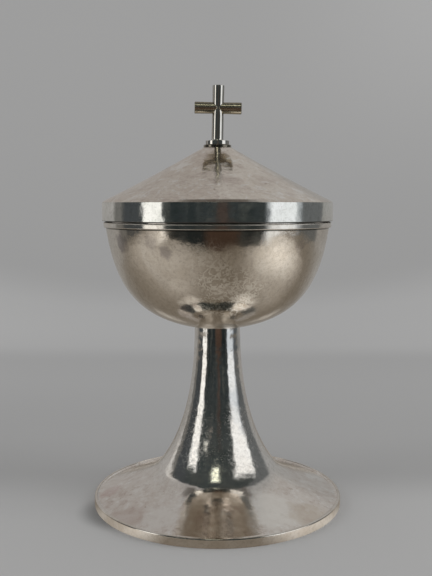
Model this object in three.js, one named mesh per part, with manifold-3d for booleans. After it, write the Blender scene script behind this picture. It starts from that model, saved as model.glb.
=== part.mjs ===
// A footed silver cup with a conical lid and a cross, made of raised sheet, heavy wire and turned pieces.
// Millimetres, +Z up. The origin is on the table, under the middle of the foot.
import * as THREE from 'three';
import { mergeVertices } from 'three/addons/utils/BufferGeometryUtils.js';
import Module from 'manifold-3d';

const wasm = await Module();
wasm.setup();

// Sheet and gaps
const sheet = 1; // wall of the foot, bowl, lid and band
const seamGap = 0.3; // gap for solder or thread between two pieces that stay together
const liftGap = 0.3; // gap that lets the lid lift off and turn

// Foot and stem
const footRadius = 66;
const footRimHeight = 4.7;
const footEdgeHeight = 4.05; // top of the foot's sheet beside the rim
const footRimWall = 1.4; // rim outside the edge of the foot's sheet
const footLedge = 1.6; // step of the rim under the foot's sheet
const footRimRound = 0.9;
const footRimBevel = 0.4;
const stemHeight = 94.5;
const neckRadius = 12.1;
const neckRun = 38.2; // how far down the upright neck pulls the stem's curve
const flareRadius = 32; // where the sloping flange turns up into the stem's flare
const flareHeight = 19.3;
const flareSlope = 49.4; // degrees
const flareRun = 17.6; // how far up that slope pulls the flare
const flareTail = 6; // how far down it pulls the flange
const flangeSlope = 18.3; // degrees, at the rim
const flangeRun = 20; // how far up that slope pulls the flange
const levelFoot = 0.6; // level edge of the foot's sheet, which rests on the ledge

// Bolted joint between the bowl and the stem
const plateThickness = 2;
const bossRadius = 7;
const studRadius = 3;
const clampWasherThickness = 1.5;
const clampWasherInset = 1.2; // washer's edge inside the plate's edge
const clampNutFlats = 10;
const clampNutHeight = 5;
const studEnd = 1.5; // thread that shows past the nut

// Bowl
const bowlRadius = 58.2;
const bowlDepth = 52.4; // from the seat on the stem to the edge of the sheet
const seatMargin = 0.5; // flat of the bowl outside the neck
const mouthTaper = 4.3; // the bowl's wall draws in by this much over mouthRun
const mouthRun = 29.1;
const bellyRadius = 43.8; // where the bowl's curve heads for its flat
const bellyRise = 5.4;
const rimWireHeight = 2.7;
const rimWireOverhang = 1.1; // rim wire outside the bowl's wall
const wireBevel = 0.4;

// Lid
const lidOverhang = 0.7; // band outside the rim wire
const shadowLine = 0.6; // from the rim wire up to the band
const bandHeight = 9.4;
const bandWall = 1.2;
const bandBevel = 0.25;
const coneLand = 0.4; // upright edge of the cone's sheet
const coneRise = 28;
const coneHollow = 0.6; // how far the cone's side dips below a straight line
const seatRingThickness = 1.2;
const bezelDepth = 8;
const bezelWall = 1;

// Finial and cross
const flatMargin = 0.25; // flat of the lid outside the finial's washer
const collarRadius = 6;
const collarHeight = 2;
const collarBevel = 0.2;
const washerOverhang = 1.25; // the finial washer's edge outside the collar
const finialWasherHeight = 1.5;
const finialWasherBevel = 0.4;
const shankRadius = 2;
const innerWasherRadius = 5.5;
const innerWasherThickness = 1;
const finialNutFlats = 7;
const finialNutHeight = 3.2;
const shankEnd = 1; // thread that shows past the nut
const uprightHeight = 27.95;
const crossingHeight = 16.5; // middle of the arms above the upright's foot
const armReach = 12.15; // from the middle of the cross to the end of an arm
const rodRadius = 2.9; // at the crossing
const rodFlare = 0.1; // extra radius at each end of the rods
const rodBevel = 0.2;
const crossLean = 1.2; // degrees, to +X

// Facets round a circle: multiples of 12, so that a turn of 30 degrees maps each ring onto itself
const coarse = 60;
const medium = 36;
const fine = 24;

// Sizes that follow from the ones above
const footSheetRadius = footRadius - footRimWall - seamGap;
const neckBore = neckRadius - sheet;
const plateRadius = neckBore - seamGap;
const bossHeight = plateThickness - seamGap;
const clampHeight = plateThickness + clampWasherThickness + clampNutHeight;
const seatRadius = neckRadius + seatMargin;
const rimWireRadius = bowlRadius + rimWireOverhang;
const lidRadius = rimWireRadius + lidOverhang;
const coneFoot = shadowLine + bandHeight;
const lidFlatHeight = coneFoot + coneLand + coneRise;
const finialWasherRadius = collarRadius + washerOverhang;
const lidFlatRadius = finialWasherRadius + flatMargin;
const shankBore = shankRadius + seamGap;
const finialGrip = sheet + innerWasherThickness + finialNutHeight;

const point = (radius, height) => new THREE.Vector2(radius, height);

// Turns a profile about +Z. It runs up the outside of the wall and down the inside.
function turned(profile, facets) {
  const geometry = new THREE.LatheGeometry(profile, facets);
  geometry.rotateX(Math.PI / 2);
  return geometry;
}

// Ring with a rectangular section. The outer corners are bevelled.
function ring(inner, outer, height, facets, bevel = 0) {
  const corners = bevel > 0
    ? [point(outer - bevel, 0), point(outer, bevel), point(outer, height - bevel), point(outer - bevel, height)]
    : [point(outer, 0), point(outer, height)];
  return turned([...corners, point(inner, height), point(inner, 0), corners[0]], facets);
}

// Points up the outside of a wall, and those down its inside, one sheet away.
function sheetWall(curve, steps) {
  const outside = curve.getPoints(steps);
  const inside = outside.map((place, i) => {
    const along = curve.getTangent(i / steps);
    return point(place.x - sheet * along.y, place.y + sheet * along.x);
  });
  return { outside, inside: inside.reverse() };
}

// Radius at which a line of points crosses a height.
function radiusAt(points, height) {
  const i = points.findIndex((place, k) => k > 0 && (place.y - height) * (points[k - 1].y - height) <= 0);
  const [from, to] = [points[i - 1], points[i]];
  return THREE.MathUtils.mapLinear(height, from.y, to.y, from.x, to.x);
}

// Hexagon nut with its lower face at height 0.
function nut(flats, height, boreRadius) {
  const corner = flats / Math.sqrt(3);
  const outline = new THREE.Shape();
  for (let i = 0; i < 6; i++) {
    const angle = (i * Math.PI) / 3;
    const [x, y] = [corner * Math.cos(angle), corner * Math.sin(angle)];
    if (i === 0) outline.moveTo(x, y);
    else outline.lineTo(x, y);
  }
  outline.closePath();
  const bore = new THREE.Path().absarc(0, 0, boreRadius, 0, 2 * Math.PI, true);
  outline.holes.push(bore);
  return new THREE.ExtrudeGeometry(outline, { depth: height, bevelEnabled: false, curveSegments: fine / 2 });
}

// Point a length inwards and up a slope from another point.
function upSlope(from, slope, length) {
  const angle = THREE.MathUtils.degToRad(slope);
  return point(from.x - length * Math.cos(angle), from.y + length * Math.sin(angle));
}

// Foot: a trumpet of sheet whose edge rests on a step in the rim. Its flange slopes up to the flare.
const flangeEdge = point(footSheetRadius - levelFoot, footEdgeHeight);
const flareFoot = point(flareRadius, flareHeight);
const flangeCurve = new THREE.CubicBezierCurve(
  flangeEdge,
  upSlope(flangeEdge, flangeSlope, flangeRun),
  upSlope(flareFoot, flareSlope, -flareTail),
  flareFoot,
);
const flareCurve = new THREE.CubicBezierCurve(
  flareFoot,
  upSlope(flareFoot, flareSlope, flareRun),
  point(neckRadius, stemHeight - neckRun),
  point(neckRadius, stemHeight),
);

function stemFoot() {
  const flange = sheetWall(flangeCurve, 5);
  const flare = sheetWall(flareCurve, 9);
  const outside = [...flange.outside, ...flare.outside.slice(1)];
  const inside = [...flare.inside, ...flange.inside.slice(1)];
  const underside = footEdgeHeight - sheet;
  const edge = [point(footSheetRadius, underside), point(footSheetRadius, footEdgeHeight)];
  return turned([...edge, ...outside, ...inside, point(flangeEdge.x, underside), edge[0]], coarse);
}

function footRim() {
  const shoulder = footRadius - footRimWall;
  const ledge = shoulder - footLedge;
  const step = footEdgeHeight - sheet;
  const rounding = new THREE.EllipseCurve(
    footRadius - footRimRound, footRimHeight - footRimRound, footRimRound, footRimRound, 0, Math.PI / 2,
  );
  const profile = [
    point(footRadius - footRimBevel, 0),
    point(footRadius, footRimBevel),
    ...rounding.getPoints(3),
    point(shoulder, footRimHeight),
    point(shoulder, step),
    point(ledge, step),
    point(ledge, 0),
  ];
  return turned([...profile, profile[0]], coarse);
}

// Bowl: its flat sits on the neck, and its wall ends under the rim wire.
const bowlCurve = new THREE.CubicBezierCurve(
  point(seatRadius, 0),
  point(bellyRadius, bellyRise),
  point(bowlRadius - mouthTaper, bowlDepth - mouthRun),
  point(bowlRadius, bowlDepth),
);
const bowlWall = sheetWall(bowlCurve, 10);

function bowl() {
  const inside = bowlWall.inside.filter((place) => place.y < bowlDepth);
  const mouth = point(radiusAt(bowlWall.inside, bowlDepth), bowlDepth);
  return turned([point(0, 0), ...bowlWall.outside, mouth, ...inside, point(0, sheet)], coarse);
}

// Lid: a slightly hollow cone with a flat for the finial.
function lidCone() {
  const foot = point(lidRadius, coneFoot + coneLand);
  const top = point(lidFlatRadius, lidFlatHeight);
  const dip = point((foot.x + top.x) / 2, (foot.y + top.y) / 2 - 2 * coneHollow);
  const { outside, inside } = sheetWall(new THREE.QuadraticBezierCurve(foot, dip, top), 4);
  const edge = [point(radiusAt(inside, coneFoot), coneFoot), point(lidRadius, coneFoot)];
  const flat = [point(shankBore, lidFlatHeight), point(shankBore, lidFlatHeight - sheet)];
  const under = inside.filter((place) => place.y > coneFoot);
  return turned([...edge, ...outside, ...flat, ...under, edge[0]], coarse);
}

// Finial: a washer with a bevelled edge, and a collar whose threaded shank goes down through the lid.
function finialWasher() {
  const profile = [
    point(finialWasherRadius, 0),
    point(finialWasherRadius, finialWasherHeight - finialWasherBevel),
    point(finialWasherRadius - finialWasherBevel, finialWasherHeight),
    point(shankBore, finialWasherHeight),
    point(shankBore, 0),
  ];
  return turned([...profile, profile[0]], medium);
}

function finialCollar() {
  const shankFoot = -finialWasherHeight - finialGrip - shankEnd;
  return turned([
    point(0, shankFoot),
    point(shankRadius, shankFoot),
    point(shankRadius, 0),
    point(collarRadius, 0),
    point(collarRadius, collarHeight - collarBevel),
    point(collarRadius - collarBevel, collarHeight),
    point(0, collarHeight),
  ], medium);
}

// Radius of the upright at a height above its foot: it widens from the crossing to both ends.
function uprightRadius(height) {
  const run = height < crossingHeight ? crossingHeight : uprightHeight - crossingHeight;
  return rodRadius + (rodFlare * Math.abs(height - crossingHeight)) / run;
}

function crossUpright() {
  const end = rodRadius + rodFlare;
  return turned([
    point(0, 0),
    point(end, 0),
    point(rodRadius, crossingHeight),
    point(end - rodBevel, uprightHeight - rodBevel),
    point(end - 2 * rodBevel, uprightHeight),
    point(0, uprightHeight),
  ], medium);
}

// A closed mesh as a solid that can be cut.
function solid(geometry) {
  geometry.deleteAttribute('normal');
  geometry.deleteAttribute('uv');
  const merged = mergeVertices(geometry);
  return new wasm.Manifold(new wasm.Mesh({
    numProp: 3,
    vertProperties: new Float32Array(merged.attributes.position.array),
    triVerts: new Uint32Array(merged.index.array),
  }));
}

// Arm along +X or -X, hollowed at its inner end to lie against the upright.
function crossArm(side) {
  const end = rodRadius + rodFlare;
  const arm = new THREE.CylinderGeometry(end, rodRadius, armReach, medium);
  arm.translate(0, armReach / 2, 0);
  arm.rotateZ((-side * Math.PI) / 2);
  const hollowRadius = uprightRadius(crossingHeight + end) + seamGap;
  const hollow = new THREE.CylinderGeometry(hollowRadius, hollowRadius, 4 * end, medium);
  hollow.rotateX(Math.PI / 2);
  const { vertProperties, triVerts } = solid(arm).subtract(solid(hollow)).getMesh();
  const geometry = new THREE.BufferGeometry();
  geometry.setAttribute('position', new THREE.BufferAttribute(vertProperties, 3));
  geometry.setIndex(new THREE.BufferAttribute(triVerts, 1));
  geometry.computeVertexNormals();
  return geometry;
}

// Finishes
const satinSilver = () => new THREE.MeshStandardMaterial({ color: 0xc9c2b6, roughness: 0.32, metalness: 1 });
const brightSilver = () => new THREE.MeshStandardMaterial({ color: 0xd6d1c8, roughness: 0.14, metalness: 1 });
const steel = () => new THREE.MeshStandardMaterial({ color: 0x9a9a98, roughness: 0.4, metalness: 1 });

// Named mesh at a height in its group.
function piece(name, geometry, material, height = 0) {
  const mesh = new THREE.Mesh(geometry, material);
  mesh.name = name;
  mesh.position.z = height;
  return mesh;
}

function footGroup() {
  const group = new THREE.Group();
  group.add(
    piece('stem_foot', stemFoot(), brightSilver()),
    piece('foot_rim', footRim(), brightSilver()),
  );
  return group;
}

// Everything here hangs from the seat, at height 0.
function clampGroup() {
  const group = new THREE.Group();
  const studBore = studRadius + seamGap;
  const washerTop = -plateThickness;
  const nutTop = washerTop - clampWasherThickness;
  const washerRadius = plateRadius - clampWasherInset;
  const studLength = clampHeight + studEnd;
  const stud = turned([
    point(0, 0), point(studRadius, 0), point(studRadius, studLength), point(0, studLength),
  ], fine);
  group.add(
    piece('stem_top_plate', ring(bossRadius + seamGap, plateRadius, plateThickness, medium), satinSilver(),
      -plateThickness),
    piece('bowl_boss', ring(studBore, bossRadius, bossHeight, medium), satinSilver(), -bossHeight),
    piece('tie_stud', stud, steel(), -studLength),
    piece('clamp_washer', ring(studBore, washerRadius, clampWasherThickness, medium), steel(), nutTop),
    piece('clamp_nut', nut(clampNutFlats, clampNutHeight, studBore), steel(), nutTop - clampNutHeight),
  );
  return group;
}

function cupGroup() {
  const group = new THREE.Group();
  const wire = ring(radiusAt(bowlWall.inside, bowlDepth), rimWireRadius, rimWireHeight, coarse, wireBevel);
  group.add(
    piece('bowl', bowl(), satinSilver()),
    piece('bowl_rim_ring', wire, brightSilver(), bowlDepth),
  );
  return group;
}

// Height 0 is the top of the rim wire.
function lidGroup() {
  const group = new THREE.Group();
  const bandBore = lidRadius - bandWall;
  const bezelFoot = liftGap - bezelDepth;
  const bezelRadius = radiusAt(bowlWall.inside, bowlDepth + rimWireHeight + bezelFoot) - liftGap;
  const bezelBore = bezelRadius - bezelWall;
  group.add(
    piece('lid_bezel', ring(bezelBore, bezelRadius, bezelDepth, coarse), satinSilver(), bezelFoot),
    piece('lid_seat_ring', ring(bezelBore, bandBore - seamGap, seatRingThickness, coarse), satinSilver(), liftGap),
    piece('lid_band', band(bandBore), brightSilver(), shadowLine),
    piece('lid_cone', lidCone(), satinSilver()),
    finialGroup(),
  );
  return group;
}

// Upright band: only its lower outer edge is bevelled, because the cone's sheet sits on the upper one.
function band(bore) {
  const profile = [
    point(lidRadius - bandBevel, 0),
    point(lidRadius, bandBevel),
    point(lidRadius, bandHeight),
    point(bore, bandHeight),
    point(bore, 0),
  ];
  return turned([...profile, profile[0]], coarse);
}

// Height 0 is the lid's flat.
function finialGroup() {
  const group = new THREE.Group();
  group.position.z = lidFlatHeight;
  const underSheet = -sheet - innerWasherThickness;
  group.add(
    piece('finial_washer', finialWasher(), brightSilver()),
    piece('finial_collar', finialCollar(), brightSilver(), finialWasherHeight),
    piece('finial_inner_washer', ring(shankBore, innerWasherRadius, innerWasherThickness, medium), steel(),
      underSheet),
    piece('finial_nut', nut(finialNutFlats, finialNutHeight, shankBore), steel(), underSheet - finialNutHeight),
    crossGroup(),
  );
  return group;
}

// The cross is soldered on the collar and leans a little.
function crossGroup() {
  const group = new THREE.Group();
  group.position.z = finialWasherHeight + collarHeight + seamGap;
  group.rotation.y = THREE.MathUtils.degToRad(crossLean);
  group.add(
    piece('cross_upright', crossUpright(), brightSilver()),
    piece('cross_arm_left', crossArm(-1), brightSilver(), crossingHeight),
    piece('cross_arm_right', crossArm(1), brightSilver(), crossingHeight),
  );
  return group;
}

const ciborium = new THREE.Group();
const clamp = clampGroup();
const cup = cupGroup();
const lid = lidGroup();
clamp.position.z = stemHeight;
cup.position.z = stemHeight;
lid.position.z = stemHeight + bowlDepth + rimWireHeight;
ciborium.add(footGroup(), clamp, cup, lid);

export default ciborium;
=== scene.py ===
# %% [markdown]
# # A silver ciborium
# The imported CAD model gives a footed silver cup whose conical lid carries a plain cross. It says where every piece
# is. This lesson adds what a solid can't say: the marks of the hammer, edges softened by polishing, patina and light.
# The solids could be shaded as they are, but their circles are polygons, and in a mirror finish each corner shows.
# So every piece is worked out again as a smooth surface and then stands for its solid.

# %% Load the frame
import math

import bpy
import numpy as np
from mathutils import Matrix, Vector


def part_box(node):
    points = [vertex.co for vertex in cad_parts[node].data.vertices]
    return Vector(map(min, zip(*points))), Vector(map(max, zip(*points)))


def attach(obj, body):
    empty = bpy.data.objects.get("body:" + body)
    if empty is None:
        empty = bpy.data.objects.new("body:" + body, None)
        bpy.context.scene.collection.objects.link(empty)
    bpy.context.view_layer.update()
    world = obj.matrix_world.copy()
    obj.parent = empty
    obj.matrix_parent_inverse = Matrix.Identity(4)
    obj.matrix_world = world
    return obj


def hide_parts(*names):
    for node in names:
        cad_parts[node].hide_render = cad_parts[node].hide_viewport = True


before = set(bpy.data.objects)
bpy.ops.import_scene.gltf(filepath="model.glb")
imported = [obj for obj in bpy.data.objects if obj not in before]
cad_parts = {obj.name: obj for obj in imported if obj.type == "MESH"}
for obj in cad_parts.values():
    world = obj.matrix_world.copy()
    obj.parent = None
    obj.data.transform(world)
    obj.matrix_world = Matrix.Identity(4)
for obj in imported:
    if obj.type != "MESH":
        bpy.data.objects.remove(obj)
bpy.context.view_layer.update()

# %% [markdown]
# ## The camera
# The photograph was taken from a little above the rim, about 42 cm away, with the whole vessel in an upright frame.
# A camera can be aimed by a constraint or by hand. Here its place, tilt and lens are plain numbers, found by
# matching the widths of the foot and the lid and the roundness of their ellipses, so that nothing can drift.

# %% Camera
CAMERA_PLACE = (-0.00074, -0.4168, 0.1578)
CAMERA_TILT = 5.924  # degrees below level
FOCAL_PIXELS = 790
PHOTO_HEIGHT = 576
SENSOR_HEIGHT = 36  # mm

camera_data = bpy.data.cameras.new("camera")
camera_data.sensor_fit = "VERTICAL"
camera_data.sensor_height = SENSOR_HEIGHT
camera_data.lens = SENSOR_HEIGHT * FOCAL_PIXELS / PHOTO_HEIGHT
camera = bpy.data.objects.new("camera", camera_data)
camera.location = CAMERA_PLACE
camera.rotation_euler = (math.radians(90 - CAMERA_TILT), 0, 0)
bpy.context.scene.collection.objects.link(camera)
bpy.context.scene.camera = camera
bpy.context.scene.view_settings.view_transform = "Standard"
print("camera: lens", round(camera_data.lens, 1), "mm")

# %% [markdown]
# ## Sizes
# A silversmith works in millimetres, and so does this lesson until a mesh is made. The names and values are those of
# the CAD source, because a piece has to sit where its solid sits. They could be read back from the solids' boxes,
# but a box doesn't tell how a curve bends, so the numbers that shape the curves are written down once, here.

# %% Sizes in millimetres
MM = 0.001
SHEET = 1.0
FOOT_RADIUS, FOOT_RIM_HEIGHT, RIM_STEP, RIM_BORE = 66.0, 4.7, 64.6, 63.0
FOOT_EDGE, FOOT_EDGE_HEIGHT, LEVEL_FOOT = 64.3, 4.05, 0.6
FLANGE_SLOPE, FLANGE_RUN = math.radians(18.3), 20.0
FLARE_RADIUS, FLARE_HEIGHT, FLARE_SLOPE = 32.0, 19.3, math.radians(49.4)
FLARE_RUN, FLARE_TAIL, NECK_RUN = 17.6, 6.0, 38.2
STEM_TOP, NECK_RADIUS = 94.5, 12.1
BOWL_SEAT, BOWL_BELLY, BELLY_RISE = 12.6, 43.8, 5.4
BOWL_RADIUS, BOWL_TOP, MOUTH_FLARE, MOUTH_RUN = 58.2, 146.9, 4.3, 29.1
WIRE_RADIUS, WIRE_BORE, WIRE_TOP = 59.3, 57.3, 149.6
LID_RADIUS, BAND_BORE, BAND_FOOT, BAND_TOP = 60.0, 58.8, 150.2, 159.6
CONE_FOOT, CONE_SAG, LID_FLAT_RADIUS, LID_FLAT_HEIGHT = 160.0, 1.2, 7.5, 188.0
BEZEL_FOOT, SEAT_RADIUS, SEAT_FOOT, SEAT_TOP = 141.9, 58.5, 149.9, 151.1
WASHER_RADIUS, WASHER_BEVEL, SHANK_HOLE = 7.25, 0.4, 2.3
COLLAR_RADIUS, COLLAR_FOOT, COLLAR_TOP = 6.0, 189.5, 191.5
SHANK_RADIUS, SHANK_FOOT = 2.0, 181.6
STUD_RADIUS, STUD_FOOT, STUD_TOP, STUD_HOLE = 3.0, 84.5, 94.4, 3.3
ROD_RADIUS, ROD_FLARE = 2.9, 0.1
CROSS_FOOT, UPRIGHT_HEIGHT, CROSSING_HEIGHT, ARM_REACH = 191.8, 27.95, 16.5, 12.15
CROSS_LEAN = math.radians(1.2)
print("sizes: foot", 2 * FOOT_RADIUS, "mm across, lid", 2 * LID_RADIUS, "mm across")

# %% [markdown]
# ## Profiles
# Almost every piece was raised or turned, so half of its section says it all. A section could be drawn with
# Blender's curve objects, but then its points aren't where a later step wants them. Here a section is an array of
# points (radius, height) that runs up the outside and down the inside. Its corners are softened, as a polisher
# leaves them.

# %% Profiles
CORNER_POINTS = 6


def bezier(controls, count):
    """Points of a Bezier curve: neighbouring control points are blended, share 1 - t to t, until one is left."""
    t = np.linspace(0, 1, count)[:, None]
    places = [np.array(c, float) + 0 * t for c in controls]
    while len(places) > 1:
        places = [a * (1 - t) + b * t for a, b in zip(places, places[1:])]
    return places[0]


def softened(corners, cut, run=3, closed=True):
    """Profile with soft corners. Each corner becomes a small parabola that starts and ends cut away from it,
    and each straight run gets points that crowd towards its ends: half of 1 minus the cosine of an even angle."""
    corners = np.array(corners, float)
    cut = np.broadcast_to(np.array(cut, float), len(corners))
    rows = []
    for i, corner in enumerate(corners):
        before, after = corners[i - 1], corners[(i + 1) % len(corners)]
        if not closed and i in (0, len(corners) - 1):
            start = end = corner
            rows.append(corner[None])
        else:
            start = corner + (before - corner) * cut[i] / np.linalg.norm(before - corner)
            end = corner + (after - corner) * cut[i] / np.linalg.norm(after - corner)
            rows.append(bezier([start, corner, end], CORNER_POINTS) if cut[i] > 0 else corner[None])
        if closed or i < len(corners) - 1:
            following = (i + 1) % len(corners)
            reach = corner - after
            next_cut = 0 if not closed and following == len(corners) - 1 else cut[following]
            stop = after + reach * next_cut / np.linalg.norm(reach)
            share = (1 - np.cos(np.pi * np.arange(1, run + 1) / (run + 1))) / 2
            rows.append(end + (stop - end) * share[:, None])
    return np.concatenate(rows)


def run_along(profile):
    """Length along a profile from its first point: the running sum of its steps."""
    return np.concatenate([[0], np.cumsum(np.hypot(*np.diff(profile, axis=0).T))])


def outward(profile):
    """Unit normals of a profile: its tangent turned a quarter turn to the right."""
    along = np.gradient(profile, axis=0)
    along /= np.linalg.norm(along, axis=1, keepdims=True)
    return np.stack([along[:, 1], -along[:, 0]], axis=1)


def up_slope(start, slope, length):
    """Place a length inwards and up a slope from another: (r - length x cos slope, z + length x sin slope)."""
    return start[0] - length * math.cos(slope), start[1] + length * math.sin(slope)


print("a soft corner has", CORNER_POINTS, "points")

# %% [markdown]
# ## The three curves
# The stem and foot are one sheet. Its outside is drawn as two Bezier curves that share a tangent where the flange
# turns into the flare. One curve could carry it all, but then the flange couldn't stay as flat as it is. The wall
# of the bowl is one curve from its flat seat to its mouth, and the cone is a nearly straight one that sags a little.

# %% Curves
flange_edge, flare_foot = (FOOT_EDGE - LEVEL_FOOT, FOOT_EDGE_HEIGHT), (FLARE_RADIUS, FLARE_HEIGHT)
flange_curve = bezier([flange_edge, up_slope(flange_edge, FLANGE_SLOPE, FLANGE_RUN),
                       up_slope(flare_foot, FLARE_SLOPE, -FLARE_TAIL), flare_foot], 80)
flare_curve = bezier([flare_foot, up_slope(flare_foot, FLARE_SLOPE, FLARE_RUN),
                      (NECK_RADIUS, STEM_TOP - NECK_RUN), (NECK_RADIUS, STEM_TOP)], 120)
stem_curve = np.concatenate([flange_curve, flare_curve[1:]])
bowl_curve = bezier([(BOWL_SEAT, STEM_TOP), (BOWL_BELLY, STEM_TOP + BELLY_RISE),
                     (BOWL_RADIUS - MOUTH_FLARE, BOWL_TOP - MOUTH_RUN), (BOWL_RADIUS, BOWL_TOP)], 140)
cone_middle = ((LID_RADIUS + LID_FLAT_RADIUS) / 2, (CONE_FOOT + LID_FLAT_HEIGHT) / 2 - CONE_SAG)
cone_curve = bezier([(LID_RADIUS, CONE_FOOT), cone_middle, (LID_FLAT_RADIUS, LID_FLAT_HEIGHT)], 120)
for curve_name, curve in (("stem", stem_curve), ("bowl", bowl_curve), ("cone", cone_curve)):
    print("curve:", curve_name, round(run_along(curve)[-1]), "mm long")

# %% [markdown]
# ## From a profile to a mesh
# A turned surface is the profile carried round the axis. A Screw modifier would do it, but the hammer's marks have
# to be added to each point first. So the points are one numpy array, with a row for each point of the profile and a
# column for each angle, and the mesh takes that array as it is.

# %% Turned surfaces
SHARP_EDGE = math.radians(42)


def turn(profile, columns, relief=None):
    """Points of a turned surface: (r cos a, r sin a, z) for each profile point (r, z) and each angle a.
    A relief moves each point out along the profile's normal."""
    angle = 2 * np.pi * np.arange(columns) / columns
    radius, height = profile[:, :1] + 0 * angle, profile[:, 1:] + 0 * angle
    if relief is not None:
        normal = outward(profile)
        radius = radius + normal[:, :1] * relief
        height = height + normal[:, 1:] * relief
    return np.stack([radius * np.cos(angle), radius * np.sin(angle), height], axis=-1)


def grid_faces(rows, columns, closed):
    """Corner numbers of the faces between neighbouring rows and columns. Columns join up round the axis. Rows join
    up too where closed, and otherwise a fan of triangles closes each end on a pole."""
    number = np.arange(rows * columns).reshape(rows, columns)
    beside = np.roll(number, -1, axis=1)
    upper, upper_beside = np.roll(number, -1, axis=0), np.roll(beside, -1, axis=0)
    last = rows if closed else rows - 1
    quads = np.stack([number, beside, upper_beside, upper], axis=-1)[:last].reshape(-1, 4).tolist()
    if closed:
        return quads
    pole = rows * columns
    low = np.stack([np.full(columns, pole), beside[0], number[0]], axis=-1).tolist()
    high = np.stack([number[-1], beside[-1], np.full(columns, pole + 1)], axis=-1).tolist()
    return quads + low + high


def make_piece(name, points, closed, material, body, inner_row=None):
    """One smooth piece from its grid of points in millimetres. It stands for the CAD node of the same name.
    From inner_row on, its points get 1 in the attribute named inside."""
    rows, columns = points.shape[:2]
    flat = points.reshape(-1, 3)
    if not closed:
        flat = np.concatenate([flat, [points[0].mean(0)], [points[-1].mean(0)]])
    mesh = bpy.data.meshes.new(name + "_surface")
    mesh.from_pydata((flat * MM).tolist(), [], grid_faces(rows, columns, closed))
    mesh.shade_smooth()
    mesh.set_sharp_from_angle(angle=SHARP_EDGE)
    if inner_row is not None:
        inside = np.arange(rows) >= inner_row
        share = np.concatenate([np.repeat(inside, columns), inside[[0, -1]]])[: len(flat)]
        mesh.attributes.new("inside", "FLOAT", "POINT").data.foreach_set("value", share.astype(np.float32))
    piece = bpy.data.objects.new(name + "_piece", mesh)
    bpy.context.scene.collection.objects.link(piece)
    mesh.materials.append(material)
    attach(piece, body)
    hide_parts(name)
    print("piece:", piece.name, len(mesh.polygons), "faces")


for closed, shape in ((False, "tube"), (True, "ring")):
    print("a", shape, "of 3 by 8 points has", len(grid_faces(3, 8, closed)), "faces")

# %% [markdown]
# ## The marks of the hammer
# The sheet was raised with a hammer, planished in courses round the piece, and polished. Each blow leaves a flat or
# slightly hollow spot, and soft ridges stand where spots meet. A bump texture could fake the light, but not the
# broken edges of a reflection seen from the side, so the marks are in the mesh. Their heights are a few hundredths
# of a millimetre, which is enough to bend a reflection by one or two degrees.

# %% Hammer marks
MARK_STRAY = 0.33  # how far a blow strays from its even place, as a share of the spacing
MARK_DEPTH_SPREAD = 0.12
MARK_REACH = 2.0  # spacings
NOTHING = 1e-200  # keeps the logarithm finite where no mark is near


def hammer_marks(profile, columns, spacing, bend, seed, sharpness=900):
    """Height of the marks over a turned surface, in millimetres.
    At a point, each mark near it has the height bend x distance squared + the mark's own depth. The surface is
    their soft minimum: minus the logarithm of the sum of e to the power of minus sharpness x height, over the
    sharpness. The bend may be one number, or one for each point of the profile."""
    rng = np.random.default_rng(seed)
    places = turn(profile, columns)
    run = run_along(profile)
    angle = 2 * np.pi * np.arange(columns) / columns
    total = np.full(places.shape[:2], NOTHING)
    for course in np.arange(-spacing, run[-1] + 1.5 * spacing, spacing):
        count = max(7, round(2 * np.pi * np.interp(course, run, profile[:, 0]) / spacing))
        course_bend = bend if np.isscalar(bend) else np.interp(course, run, bend)
        mark_angle = (np.arange(count) + rng.uniform(-MARK_STRAY, MARK_STRAY, count)) * 2 * np.pi / count
        mark_run = course + spacing * rng.uniform(-MARK_STRAY, MARK_STRAY, count)
        depth = rng.normal(0, MARK_DEPTH_SPREAD, count) * course_bend * spacing**2
        mark_radius = np.interp(mark_run, run, profile[:, 0])
        centre = np.stack([mark_radius * np.cos(mark_angle), mark_radius * np.sin(mark_angle),
                           np.interp(mark_run, run, profile[:, 1])], axis=-1)
        near = np.abs(run - course) < MARK_REACH * spacing
        first = np.floor(angle / (2 * np.pi / count)).astype(int)
        for side in (-1, 0, 1, 2):
            mark = (first + side) % count
            away = ((places[near] - centre[mark]) ** 2).sum(-1)
            total[near] += np.exp(-sharpness * (course_bend * away + depth[mark]))
    relief = -np.log(total) / sharpness
    return relief - relief.mean()


def fade(profile, from_start, from_end):
    """Share of the relief along a profile: a smooth step up over from_start and down over from_end millimetres."""
    run = run_along(profile)
    share = np.clip(run / from_start, 0, 1) * np.clip((run[-1] - run) / from_end, 0, 1)
    return (share * share * (3 - 2 * share))[:, None]


def hammered(profile, columns, rows, fades, **marks):
    """Turned surface with hammer marks on a slice of its rows, faded out at both ends of the slice."""
    relief = np.zeros((len(profile), columns))
    relief[rows] = fade(profile[rows], *fades) * hammer_marks(profile[rows], columns, **marks)
    print("hammer marks:", round(float(relief.max() - relief.min()), 3), "mm from hollow to ridge")
    return turn(profile, columns, relief)


print("a blow strays by", MARK_STRAY, "of the spacing")

# %% [markdown]
# ## Writing shaders as sums
# A finish is a small recipe: so much patina here, a smoother spot there. Nodes can be wired one by one, but a sum is
# easier to read as a sum. This class wraps a node's output, so that + - and * between outputs add Math nodes. Any
# other node comes from one method that takes its type, its settings and what goes into it.


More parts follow.
